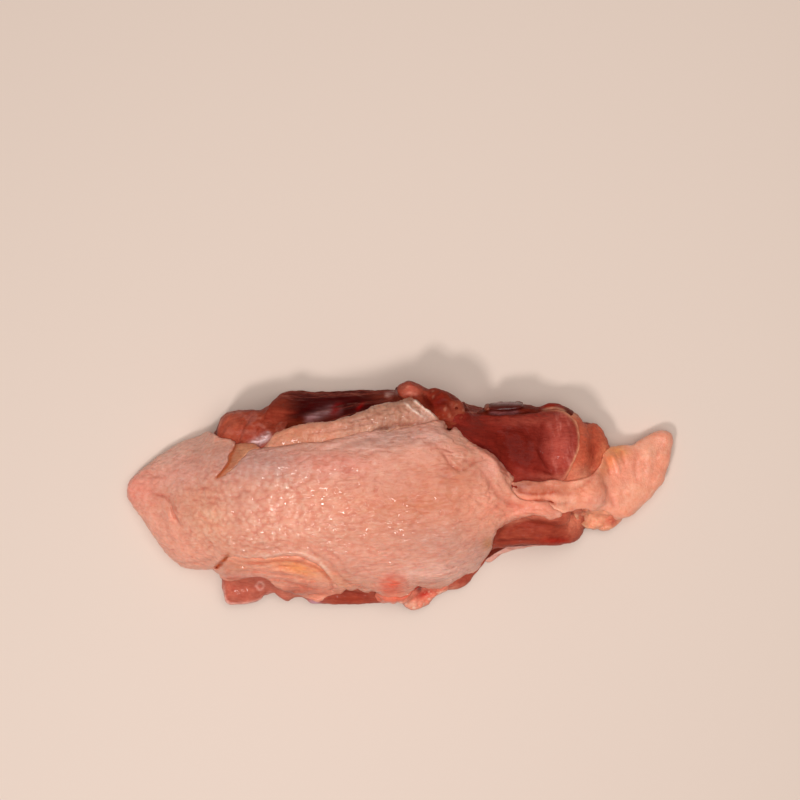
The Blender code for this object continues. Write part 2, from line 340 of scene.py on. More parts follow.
def roof_of(coarse):
    """The height of the solid's top at each place, with each top carried a few millimetres outwards."""
    roof = np.where(coarse.values < 0, coarse.axes[2], 0).max(2)
    for _ in range(ROOF_REACH):
        for axis in range(2):
            roof = np.maximum(roof, np.maximum(np.roll(roof, 1, axis), np.roll(roof, -1, axis)))
    return roof


solid = solid_distance("chicken_back")
solid_roof = roof_of(solid)
crest = solid_roof.max(1)


def unrolled(points):
    """Coordinates along the back and across it, in millimetres, as if its surface were laid flat."""
    x, y, z = points.T
    down = np.maximum(np.interp(x, solid.axes[0], crest) - z, 0)
    return x, y + np.where(y > RIDGE_Y, down, -down)


class Block(Lattice):
    """A box of space over which one tissue is worked out."""

    def __init__(self, low, high, step):
        super().__init__(low, high, step * (1))
        self.u, self.v = pixels(self.x, self.y, self.z)
        self.cad = resample(solid, self)

    def chart(self, chart):
        return look(chart, self.u, self.v)

    def above(self, cap):
        """How far each point lies above the level that is cap millimetres under the solid's top there."""
        roof = spline_weights(solid, self, 0) @ solid_roof @ spline_weights(solid, self, 1).T
        return self.z - roof[:, :, None] + cap - CAP_SHAKE * noise(self.x / CAP_WAVE, self.y / CAP_WAVE, 0.5, 21)


# ---------------------------------------------------------------- meshes


def surface_of(values, block):
    """Points and four-sided faces of the surface where the values are zero."""
    inside = values < 0
    count = sum(
        inside[i : i + values.shape[0] - 1, j : j + values.shape[1] - 1, k : k + values.shape[2] - 1].astype(np.int8)
        for i in (0, 1)
        for j in (0, 1)
        for k in (0, 1)
    )
    cells = np.argwhere((count > 0) & (count < 8))
    index = np.full(count.shape, -1, np.int64)
    index[tuple(cells.T)] = np.arange(len(cells))
    total = np.zeros((len(cells), 3))
    hits = np.zeros(len(cells))
    for axis in range(3):
        for corner in range(4):
            start = np.array([0, 0, 0])
            others = [a for a in range(3) if a != axis]
            start[others[0]], start[others[1]] = corner & 1, corner >> 1
            end = start.copy()
            end[axis] = 1
            a = values[tuple((cells + start).T)]
            b = values[tuple((cells + end).T)]
            cut = (a < 0) != (b < 0)
            t = np.where(cut, a / np.where(a == b, 1, a - b), 0)
            place = start + t[:, None] * (end - start)
            total += place * cut[:, None]
            hits += cut
    points = block.low + block.step * (cells + total / hits[:, None])
    faces = []
    for axis in range(3):
        one, two = [a for a in range(3) if a != axis]
        low = [slice(1, -1)] * 3
        low[axis] = slice(0, -1)
        high = list(low)
        high[axis] = slice(1, None)
        a, b = inside[tuple(low)], inside[tuple(high)]
        for going_out in (True, False):
            edges = np.argwhere(a & ~b if going_out else ~a & b)
            offset = np.array([1, 1, 1])
            offset[axis] = 0
            edges = edges + offset
            corners = []
            for back_one, back_two in ((1, 1), (0, 1), (0, 0), (1, 0)):
                cell = edges.copy()
                cell[:, one] -= back_one
                cell[:, two] -= back_two
                corners.append(index[tuple(cell.T)])
            flip = going_out != (axis == 1)
            faces.append(np.stack(corners if flip else corners[::-1], axis=1))
    faces = np.vstack(faces)
    return points, faces[(faces >= 0).all(1)]


def largest_body(points, faces):
    """Only the faces that hang together with the largest part of the surface."""
    label = np.arange(len(points))
    while True:
        lowest = label[faces].min(1)
        new = label.copy()
        for corner in range(4):
            np.minimum.at(new, faces[:, corner], lowest)
        new = new[new]
        if (new == label).all():
            break
        label = new
    ids, sizes = np.unique(label, return_counts=True)
    keep = label == ids[sizes.argmax()]
    renumber = np.cumsum(keep) - 1
    return points[keep], renumber[faces[keep[faces].all(1)]]


def normals_of(points, faces):
    flat = np.cross(points[faces[:, 1]] - points[faces[:, 0]], points[faces[:, -1]] - points[faces[:, 0]])
    total = np.zeros_like(points)
    for corner in range(faces.shape[1]):
        for axis in range(3):
            total[:, axis] += np.bincount(faces[:, corner], flat[:, axis], len(points))
    return total / np.maximum(np.linalg.norm(total, axis=1, keepdims=True), 1e-12)


def mesh_of(name, points, faces):
    """A mesh from points in millimetres and faces with the same number of corners."""
    mesh = bpy.data.meshes.new(name)
    mesh.vertices.add(len(points))
    mesh.vertices.foreach_set("co", (points * MM).astype(np.float32).ravel())
    mesh.loops.add(faces.size)
    mesh.loops.foreach_set("vertex_index", faces.astype(np.int32).ravel())
    mesh.polygons.add(len(faces))
    mesh.polygons.foreach_set("loop_start", np.arange(0, faces.size, faces.shape[1], dtype=np.int32))
    mesh.update(calc_edges=True)
    return mesh


def placed(name, data):
    """A new object of the scene."""
    obj = bpy.data.objects.new(name, data)
    bpy.context.scene.collection.objects.link(obj)
    return obj


def thinned(points, faces, most):
    """The points and triangles left when the flattest places are thinned to the given number of triangles."""
    obj = placed("thinned", mesh_of("thinned", points, faces))
    modifier = obj.modifiers.new("thin", "DECIMATE")
    modifier.ratio = most / (2 * len(faces))
    modifier.use_collapse_triangulate = True
    bpy.context.view_layer.update()
    thin = obj.evaluated_get(bpy.context.evaluated_depsgraph_get()).to_mesh()
    co = np.zeros(len(thin.vertices) * 3, np.float32)
    thin.vertices.foreach_get("co", co)
    corners = np.zeros(len(thin.loops), np.int32)
    thin.loops.foreach_get("vertex_index", corners)
    bpy.data.objects.remove(obj)
    return co.reshape(-1, 3).astype(float) / MM, corners.reshape(-1, 3)


def tissue(name, low, high, step, field, paint, swell, material, most):
    """Makes one tissue: its field gives its form, swell its fine relief in millimetres, paint its tint."""
    block = Block(low, high, step)
    points, faces = largest_body(*surface_of(field(block), block))
    facing = normals_of(points, faces)
    points = points + facing * swell(points, facing)[:, None]
    points[:, 2] = np.maximum(points[:, 2], LOWEST)
    if 2 * len(faces) > most:
        points, faces = thinned(points, faces, most)
    mesh = mesh_of(name, points, faces)
    tint = paint(points, normals_of(points, faces))
    layer = mesh.attributes.new("tint", "FLOAT_COLOR", "POINT")
    layer.data.foreach_set("color", np.hstack([tint, np.ones((len(tint), 1))]).astype(np.float32).ravel())
    mesh.shade_smooth()
    mesh.materials.append(material)
    obj = placed(name, mesh)
    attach(obj, "root")
    return obj


# ---------------------------------------------------------------- outlines, in pixels of the photograph

SKIN = [
    (127, 494), (130, 480), (140, 471), (160, 455), (180, 442), (200, 432), (209, 431), (219, 437), (228, 439),
    (235, 442), (234, 450), (229, 455), (228, 463), (222, 471), (216, 478), (224, 475), (233, 468), (240, 460),
    (246, 453), (252, 449), (273, 447), (300, 443), (326, 441), (350, 435), (371, 431), (389, 430), (415, 425),
    (441, 420), (446, 428), (450, 431), (455, 427), (466, 438), (478, 446), (490, 452), (500, 461), (508, 470),
    (514, 477), (512, 484), (512, 491), (518, 497), (526, 500), (539, 501), (548, 502), (554, 508), (562, 512),
    (561, 517), (550, 520), (539, 516), (528, 516), (509, 523), (500, 528), (495, 534), (492, 546), (489, 554),
    (483, 561), (476, 571), (464, 576), (451, 584), (438, 589), (425, 588), (418, 587), (413, 591), (407, 596),
    (398, 598), (388, 597), (380, 595), (373, 591), (366, 593), (358, 589), (350, 591), (343, 587), (336, 584),
    (329, 576), (320, 567), (308, 560), (293, 556), (277, 557), (262, 559), (245, 558), (231, 557), (222, 560),
    (216, 566), (213, 569), (200, 570), (182, 569), (174, 563), (165, 553), (156, 540), (147, 528), (143, 520),
    (136, 511), (131, 503),
]
SLIT_FAT = [(208, 482), (216, 468), (226, 456), (232, 446), (240, 443), (256, 444), (262, 454), (248, 470), (228, 482)]
OYSTER = [
    (450, 424), (462, 412), (475, 413), (487, 415), (520, 415), (537, 412), (557, 409), (570, 415), (578, 426),
    (580, 444), (576, 457), (570, 470), (562, 482), (535, 486), (514, 490), (500, 482), (485, 466), (466, 452),
]
HIP_EDGE = [
    (452, 410), (463, 402), (476, 400), (500, 398), (524, 398), (544, 401), (566, 404), (574, 411), (570, 417),
    (557, 413), (537, 416), (520, 418), (487, 418), (470, 416),
]
HIP_BONE = [(488, 402), (500, 401), (514, 401), (522, 402), (524, 405), (521, 409), (508, 411), (494, 411), (488, 409)]
HIP_GRISTLE = [(483, 402), (487, 400), (491, 402), (491, 409), (487, 411), (483, 409)]
SIDE_MEAT = [
    (560, 406), (574, 405), (586, 413), (597, 419), (604, 427), (606, 437), (609, 445), (611, 451), (608, 466),
    (600, 480), (584, 487), (564, 487), (552, 480), (562, 460), (566, 436),
]
TAIL = [
    (500, 480), (514, 482), (526, 480), (539, 482), (552, 479), (566, 481), (580, 479), (592, 475), (600, 464),
    (603, 454), (608, 449), (615, 445), (624, 444), (632, 445), (639, 440), (650, 433), (662, 429), (672, 431),
    (675, 441), (671, 455), (668, 469), (664, 483), (658, 494), (649, 503), (633, 515), (617, 520), (611, 515),
    (604, 511), (594, 511), (580, 509), (563, 513), (550, 514), (530, 510), (512, 504), (502, 494),
]
NEAR_MUSCLE = [
    (487, 549), (488, 534), (496, 522), (512, 512), (530, 502), (550, 500), (566, 500), (577, 503), (584, 514),
    (584, 528), (576, 541), (554, 545), (520, 544), (500, 548),
]
UNDER_TAIL = [(568, 500), (594, 498), (614, 504), (624, 514), (618, 525), (602, 531), (588, 529), (578, 522)]
BLADE_FAT = [
    (270, 438), (276, 432), (287, 428), (307, 423), (326, 422), (338, 419), (350, 416), (364, 411), (378, 404),
    (396, 401), (408, 398), (416, 400), (427, 409), (437, 417), (446, 424), (442, 434), (410, 438), (389, 440),
    (371, 442), (350, 446), (326, 451), (300, 453), (276, 455), (264, 449),
]
SHOULDER = [
    (216, 440), (219, 424), (223, 416), (230, 412), (244, 410), (258, 410), (265, 408), (272, 402), (279, 399),
    (286, 404), (290, 412), (288, 424), (280, 438), (268, 452), (252, 456), (240, 450), (228, 450), (216, 448),
]
FLANK = [
    (268, 456), (266, 436), (264, 422), (268, 408), (277, 397), (286, 390), (298, 386), (330, 385), (370, 385),
    (398, 386), (414, 394), (424, 404), (408, 420), (370, 430), (330, 440), (290, 450),
]
LUMPS = [
    (397, 391), (400, 384), (411, 381), (420, 385), (426, 390), (436, 388), (446, 392), (452, 399), (462, 403),
    (465, 413), (461, 421), (452, 428), (443, 426), (432, 414), (420, 406), (410, 399), (402, 399),
]
EDGE_FAT = [
    (211, 566), (222, 554), (240, 550), (262, 550), (280, 546), (300, 546), (318, 552), (334, 564), (350, 578),
    (344, 592), (330, 596), (318, 602), (304, 597), (291, 594), (278, 588), (268, 580), (259, 577), (246, 578),
    (235, 581), (224, 580),
]
RIB_MEAT = [
    (221, 570), (223, 590), (226, 604), (237, 605), (260, 601), (273, 592), (278, 596), (285, 602), (294, 598),
    (305, 598), (311, 605), (325, 604), (348, 605), (371, 604), (389, 602), (402, 599), (402, 572), (340, 562),
    (280, 556), (236, 558),
]
RED_LUMP = [
    (371, 592), (376, 586), (386, 584), (398, 584), (408, 584), (414, 588), (411, 595), (404, 601), (392, 603),
    (378, 601),
]
NEAR_FILM = [
    (485, 561), (489, 554), (497, 549), (508, 546), (524, 543), (546, 542), (540, 545), (524, 548), (510, 551),
    (500, 555), (491, 562),
]
EDGE_TIP = [
    (396, 598), (406, 608), (414, 610), (427, 605), (435, 597), (448, 589), (444, 578), (424, 576), (408, 580),
]
NEAR_STRIP = [
    (488, 552), (478, 572), (472, 580), (464, 587), (455, 591), (444, 590), (434, 588), (440, 568), (468, 552),
]

# Lines that the relief and the colours share
NEAR_CREASE = [(228, 555), (224, 560), (217, 567)]
BLADE_CREASE = [(372, 431), (384, 428), (398, 427)]
TENDONS = [[(411, 398), (419, 404), (427, 410), (436, 418)], [(403, 401), (412, 409), (424, 418)]]
RIB_END = [(256, 586), (260, 582), (264, 586), (260, 590), (256, 586)]
FAINT_FOLDS = [[(203, 504), (212, 503), (221, 506)], [(146, 479), (156, 477), (166, 479)]]

# Lines on the skin, as (points, width in pixels, height in millimetres). Folds are above 0 and creases below
SKIN_LINES = [
    ([(148, 491), (158, 494), (166, 497), (171, 503), (173, 511), (177, 520), (185, 529)], 1.5, -1.1),
    ([(143, 497), (155, 499), (163, 503), (167, 510), (170, 519), (177, 528)], 2.8, 0.6),
    ([(186, 489), (196, 490), (205, 488), (214, 491), (224, 493)], 1.0, -0.14),
    ([(172, 481), (184, 480)], 0.9, -0.1),
    ([(196, 496), (206, 498), (214, 496), (224, 499)], 0.9, -0.12),
    (FAINT_FOLDS[0], 0.9, -0.12),
    ([(466, 441), (479, 450), (490, 457), (498, 465), (502, 475), (507, 485)], 1.6, 0.5),
    ([(470, 440), (482, 448), (494, 456), (504, 468), (509, 478)], 1.6, -0.5),
    (FAINT_FOLDS[1], 1.0, -0.2),
    ([(216, 479), (225, 482), (233, 480), (243, 484)], 1.1, -0.3),
    ([(156, 510), (164, 520), (168, 532), (176, 546)], 1.6, -0.3),
    ([(176, 562), (190, 563), (206, 561), (216, 556)], 1.3, -0.35),
    ([(240, 452), (234, 460), (228, 470), (222, 478)], 2.2, 0.3),
    ([(232, 444), (229, 452), (226, 462), (219, 472)], 2.4, 0.5),
    ([(170, 470), (180, 462), (196, 460), (210, 466)], 2.6, -0.25),
    ([(440, 448), (447, 459), (453, 467), (460, 470), (466, 469), (472, 464), (478, 461), (489, 459)], 1.2, -0.9),
    ([(442, 462), (451, 473), (461, 476), (471, 473), (478, 467), (487, 464)], 2.4, 0.4),
    ([(488, 459), (496, 468), (502, 480), (512, 492), (524, 500), (540, 504), (553, 510)], 3.0, 0.7),
    ([(478, 466), (488, 480), (498, 495), (514, 505), (532, 510)], 2.6, -0.45),
    ([(470, 480), (482, 494), (494, 507), (506, 514)], 2.6, 0.3),
    ([(498, 524), (512, 517), (530, 512), (545, 515), (556, 517)], 2.4, 0.6),
    ([(551, 500), (553, 504), (557, 509)], 1.4, -0.9),
    ([(442, 566), (455, 566), (470, 562)], 1.3, -0.35),
    ([(410, 573), (430, 577), (450, 575), (468, 569)], 2.4, 0.5),
    ([(412, 582), (430, 583), (448, 580)], 1.5, -0.5),
    ([(236, 556), (250, 555), (264, 556), (280, 553), (300, 554), (314, 561), (326, 572), (334, 581)], 1.6, 0.45),
    ([(232, 549), (248, 546), (266, 550), (284, 546), (298, 549)], 1.4, -0.3),
    ([(306, 546), (318, 556), (330, 562), (340, 576)], 1.3, -0.35),
    ([(322, 548), (336, 556), (346, 570), (352, 580)], 1.5, -0.25),
    ([(322, 560), (336, 572), (348, 582), (362, 587), (376, 588)], 1.6, -0.4),
    ([(240, 452), (262, 450), (285, 449), (312, 446), (340, 442), (366, 435), (392, 434)], 2.2, 0.25),
    ([(430, 432), (446, 438), (460, 446), (474, 456)], 2.4, 0.35),
    ([(424, 440), (440, 446), (452, 454)], 1.8, -0.3),
    ([(240, 542), (262, 545), (284, 541)], 1.6, -0.2),
    ([(330, 484), (352, 486), (374, 485)], 1.8, -0.12),
]


# ---------------------------------------------------------------- relief, in millimetres


def domes(a, b, size_a, size_b, radius, seed):
    """Domes from 0 to 1 that touch in creases, one to each cell of staggered rows, shaken out of line."""
    warp = 0.8 * noise(a / 15, b / 11, 0.5, seed + 7) + 0.25 * noise(a / 4, b / 4, 0.5, seed + 8)
    row_place = b / size_b + warp
    row = np.floor(row_place)
    raised = np.zeros(a.shape)
    for row_step in (-1, 0, 1):
        r = (row + row_step).astype(np.int64)
        column_place = a / size_a + 0.5 * (r & 1) + 0.4 * warp
        column = np.floor(column_place)
        for column_step in (-1, 0, 1):
            c = (column + column_step).astype(np.int64)
            shake_a, shake_b, height = (hashed(c & 0xFFFF, r & 0xFFFF, 0, seed + k) for k in range(3))
            da = (column_place - c - 0.5 - 0.7 * (shake_a - 0.5)) * size_a
            db = (row_place - r - 0.5 - 0.6 * (shake_b - 0.5)) * size_b
            raised = np.maximum(raised, (0.4 + 0.6 * height) * (1 - (da**2 + db**2) / radius**2))
    return raised


def lines(rows):
    """Relief of lines given as (points, width, height), and how deep their creases are, from 0 to 1."""
    relief, crease = np.zeros(chart_u.shape), np.zeros(chart_u.shape)
    for points, width, height in rows:
        mask = stroke(points, width, 0.2)
        relief += height * mask
        if height < 0:
            crease = np.maximum(crease, mask * min(1.0, -height / 0.5))
    return relief, crease


def fibres(angle, seed, width, length):
    """Fine bundles of muscle fibre at an angle in degrees, from -1 to 1, with their width and length in pixels."""
    c, s = math.cos(math.radians(angle)), math.sin(math.radians(angle))
    along = (chart_u * c + chart_v * s) + 2 * chart_noise(20, 20, seed)
    across = (chart_v * c - chart_u * s) + 3 * chart_noise(30, 30, seed + 1)
    return octaves(along / length, across / width, 0.5, 2, seed + 2)


flap = smooth_step(235, 200, chart_u)
right = smooth_step(300, 430, chart_u)
skin_lines, skin_crease = lines(SKIN_LINES)
red_bulge = spot(391, 587, 13, 10, -10)
skin_relief = 0.5 * chart_noise(42, 24, 51) + 0.18 * chart_noise(13, 8, 52) + skin_lines + 1.0 * red_bulge
skin_relief += 0.7 * chart_noise(6, 5, 53) * spot(362, 586, 30, 7)
patchy = 0.6 + 0.4 * flecks(-0.4, 0.3, 22, 14, 12)
pimple_strength = (0.35 + 0.75 * spot(276, 516, 84, 46) - 0.12 * right) * patchy
streak_strength = 0.5 + 0.4 * right + 0.3 * flap


def skin_grain(points):
    """The skin's pimples, its fine streaks and its broken wrinkles, each from about 0 to 1."""
    along, across = unrolled(points)
    u, v = pixels(*points.T)
    bumps = domes(along, across, 2.6, 1.9, 1.3, 11) * look(pimple_strength, u, v)
    bend = 1.2 * noise(along / 9, across / 7, 0.5, 3)
    streaks = octaves(along / 4.5, (across + bend) / 1.1, 0.5, 2, 41) * look(streak_strength, u, v)
    wave = noise(along / 9, (across + bend) / 2.4, 0.5, 43)
    broken = smooth_step(-0.1, 0.4, noise(along / 6, across / 4, 2.5, 44))
    return bumps, streaks, np.exp(-((wave / 0.1) ** 2)) * broken


def skin_swell(points, facing):
    bumps, streaks, wrinkles = skin_grain(points)
    steep = np.clip(facing[:, 2] * 3, 0.3, 1)
    return steep * (0.45 * bumps + 0.2 * streaks - 0.25 * wrinkles) + lumpy(0.16, 1.8)(points, facing)


def lumpy(amount, size):
    """A swell of soft lumps, its amount and size in millimetres."""

    def swell(points, facing):
        x, y, z = points.T / size
        return amount * octaves(x, y, z, count=3, seed=3)

    return swell


def layers_of(points):
    """Layers of flesh, from -1 to 1, that lie one on another where a steep side cuts through them."""
    x, y, z = points.T
    bent = z + 4.0 * noise(x / 13, y / 13, z / 12, 31)
    return octaves(x / 9, y / 9, bent / 3.4, 3, 32)


def steepness(facing):
    return smooth_step(0.32, 0.05, facing[:, 2])


def fleshy(points, facing):
    """The swell of meat: soft lumps, and on steep sides the edges of its layers."""
    return lumpy(0.14, 2.5)(points, facing) + 0.22 * steepness(facing) * layers_of(points)


in_lobe = smooth_step(542, 556, chart_u)
lobe_fibres = fibres(75, 65, 2.2, 16)
oyster_lines, oyster_crease = lines([
    ([(537, 446), (541, 456), (547, 466), (554, 474)], 1.7, -0.9),
    ([(533, 469), (544, 471), (555, 475)], 1.5, -0.7),
    ([(545, 416), (543, 428), (541, 438), (540, 448)], 3.0, -0.35),
    ([(514, 481), (530, 479), (546, 479), (562, 479)], 2.0, -0.6),
    ([(478, 418), (500, 424), (520, 428)], 2.4, 0.25),
    ([(470, 440), (486, 450), (500, 462), (512, 474)], 2.4, -0.5),
    ([(566, 418), (571, 434), (571, 450), (566, 466)], 2.0, -0.3),
])
oyster_relief = oyster_lines + 0.12 * np.where(in_lobe > 0.5, lobe_fibres, fibres(12, 61, 3, 30))
oyster_relief += 0.4 * chart_noise(26, 18, 67)
hip_lines, hip_crease = lines([
    ([(484, 413), (500, 414), (520, 413), (536, 411)], 1.6, -0.5),
    ([(536, 407), (550, 406), (562, 408)], 2.2, 0.5),
    ([(462, 408), (474, 411), (486, 413)], 1.6, 0.4),
])
hip_relief = hip_lines + 0.3 * chart_noise(12, 5, 69) + 0.8 * spot(552, 404, 22, 8)

granular = smooth_step(330, 372, chart_u)
blade_lines, blade_crease = lines([
    ([(300, 434), (330, 431), (360, 425), (392, 418)], 2.0, -0.35),
    ([(340, 424), (366, 418), (392, 408)], 1.6, -0.35),
    ([(384, 425), (410, 424), (432, 422)], 1.8, -0.5),
    (BLADE_CREASE, 1.6, -0.6),
    (TENDONS[0], 1.2, 1.2),
    (TENDONS[1], 1.2, 0.9),
    ([(420, 401), (428, 407), (434, 413)], 1.0, 0.9),
    ([(396, 404), (404, 414), (412, 421)], 1.3, -0.4),
])
blade_relief = blade_lines + 0.25 * chart_noise(7, 5, 75) * (0.3 + 0.7 * granular) + 0.3 * chart_noise(24, 8, 76)

tail_lines, tail_crease = lines([
    ([(612, 452), (615, 460), (618, 468), (619, 476)], 2.4, 0.9),
    ([(604, 458), (608, 466), (610, 476)], 2.0, -0.6),
    ([(620, 448), (622, 456), (626, 466)], 2.0, -0.5),
    ([(640, 444), (636, 458), (636, 474), (640, 488)], 3.0, -0.3),
    ([(652, 438), (650, 452), (650, 466), (648, 480)], 3.4, 0.4),
    ([(664, 438), (660, 448), (656, 458)], 2.2, -0.35),
    ([(514, 488), (530, 493), (542, 491)], 1.8, -0.4),
    ([(520, 484), (536, 486), (552, 484), (568, 486)], 2.0, 0.25),
    ([(552, 490), (564, 494), (578, 492), (588, 486)], 2.0, -0.35),
    ([(540, 498), (550, 501), (556, 505)], 1.8, -0.9),
    ([(572, 498), (584, 497), (598, 496)], 2.2, 0.35),
    ([(566, 505), (580, 501), (596, 503), (612, 503)], 2.4, 0.6),
    ([(568, 490), (580, 487), (590, 480), (597, 470)], 1.8, -0.6),
    ([(600, 478), (606, 488), (612, 500), (616, 510)], 2.6, -0.4),
    ([(624, 494), (634, 488), (644, 484)], 2.6, 0.35),
])
tail_relief = tail_lines + 0.7 * chart_noise(22, 17, 81, 1) + 0.2 * chart_noise(9, 8, 83)
muscle_lines, muscle_crease = lines([
    ([(492, 540), (506, 541), (522, 540), (540, 541)], 1.4, -0.4),
    ([(545, 538), (558, 538), (568, 540)], 1.6, -0.5),
    ([(500, 530), (520, 524), (540, 524), (560, 528)], 2.2, -0.3),
    ([(528, 516), (548, 520), (566, 516)], 2.2, 0.3),
])
muscle_relief = muscle_lines + 0.12 * fibres(-6, 91, 2.4, 28) + 0.35 * chart_noise(16, 9, 93)
fat_lines, fat_crease = lines([
    ([(216, 568), (236, 566), (258, 570), (280, 566), (300, 566)], 1.3, -0.3),
    ([(224, 576), (244, 571), (262, 572), (284, 575), (306, 578), (322, 582)], 1.3, -0.4),
    ([(262, 562), (284, 560), (304, 562), (318, 572), (326, 582)], 2.2, 0.35),
    ([(264, 577), (284, 580), (302, 586), (318, 590)], 1.4, -0.4),
    ([(276, 570), (296, 573), (312, 580)], 1.8, 0.4),
    ([(318, 560), (326, 572), (332, 584), (330, 594)], 1.6, -0.5),
])
fat_relief = fat_lines + 0.4 * chart_noise(12, 2.6, 95) + 0.25 * chart_noise(6, 5, 97)
fat_relief -= 1.2 * stroke(NEAR_CREASE, 1.5, 0)
flank_lines, flank_crease = lines([
    ([(276, 420), (300, 413), (330, 408), (362, 402), (396, 398)], 2.2, -0.6),
    ([(290, 402), (320, 398), (352, 396), (390, 393)], 2.0, 0.5),
    ([(304, 418), (318, 414), (332, 411)], 2.6, 0.5),
    ([(330, 416), (352, 408), (378, 402)], 2.0, 0.5),
])
flank_rise = smooth_step(320, 285, chart_u) * smooth_step(428, 416, chart_v)
flank_relief = flank_lines + 0.35 * chart_noise(16, 6, 99) + 1.1 * flank_rise
shoulder_relief = 0.35 * chart_noise(14, 11, 101) + 0.3 * fibres(-50, 103, 2.2, 20)
shoulder_relief -= 0.7 * stroke([(238, 446), (240, 436), (246, 424), (252, 414)], 1.5)
shoulder_relief += 0.7 * stroke([(246, 449), (256, 443), (266, 437), (272, 434)], 3) * chart_noise(4, 4, 104)
lump_lines, lump_crease = lines([
    ([(424, 392), (426, 400), (434, 408)], 1.8, -0.8),
    ([(440, 398), (450, 408), (456, 418)], 2.0, -0.4),
    ([(400, 392), (410, 396), (420, 396)], 1.8, -0.4),
    ([(404, 386), (412, 385), (419, 390)], 1.5, 0.4),
])
lump_relief = lump_lines + 0.5 * chart_noise(8, 7, 105) * smooth_step(426, 416, chart_v)
rib_lines, rib_crease = lines([
    ([(223, 580), (224, 594), (228, 603), (240, 604), (254, 602), (264, 597), (272, 590)], 1.4, 0.4),
    (RIB_END, 1.1, 0.5),
    ([(262, 584), (266, 592), (262, 600)], 1.5, -0.3),
    ([(286, 592), (304, 594), (320, 598), (342, 598), (366, 597), (388, 597)], 1.8, 0.5),
    ([(320, 593), (344, 591), (370, 596)], 1.6, -0.6),
])
rib_relief = rib_lines + 0.3 * chart_noise(12, 6, 107)
ragged_relief = 0.7 * chart_noise(6, 5, 109, 3)
red_relief = 0.3 * chart_noise(7, 6, 117) - 0.5 * stroke([(386, 580), (394, 575), (404, 578), (408, 588)], 1.5)
red_relief -= 0.8 * smooth_step(384, 374, chart_u)


# ---------------------------------------------------------------- paint


# Painted shade in creases: how much darker each channel gets there; red darkens least, so creases also look flushed
CREASE_SHADE_AND_FLUSH = np.array([0.55, 1.0, 1.05])


def covered(tint, layers):
    """A linear tint under layers of other colours, given as (colour, mask)."""
    for colour, mask in layers:
        tint = tint + (own_colour(*colour) - tint) * np.clip(mask, 0, 1)[..., None]
    return tint


def patches(ground, spots, crease=0.0, amount=0.3):
    """A colour chart: a ground with soft patches of others, as (colour, mask). Creases get painted shade and a red
    flush.
    """
    chart = covered(np.ones(chart_u.shape + (3,)) * own_colour(*ground), spots)
    dark = CREASE_SHADE_AND_FLUSH * amount
    return chart * (1 - np.clip(crease, 0, 1)[..., None] * dark) if np.ndim(crease) else chart


near_line = stroke(NEAR_CREASE, 1.7, 0)
slit_line = stroke([(236, 446), (231, 455), (229, 463), (223, 471), (216, 478)], 1.5, 0)
red_folds = FAINT_FOLDS + [
    [(186, 489), (196, 490), (205, 488), (214, 491), (226, 493)],
    [(196, 496), (206, 498), (224, 499)],
    [(270, 492), (282, 490), (296, 493), (308, 491)],
]
rows_of_folds = np.maximum.reduce([stroke(points, 1.2) for points in red_folds])
red_pores = flecks(0.35, 0.75, 3.2, 2.4, 121, 1)
film_band = stroke([(473, 444), (485, 452), (496, 459), (504, 469), (509, 480)], 3.0)
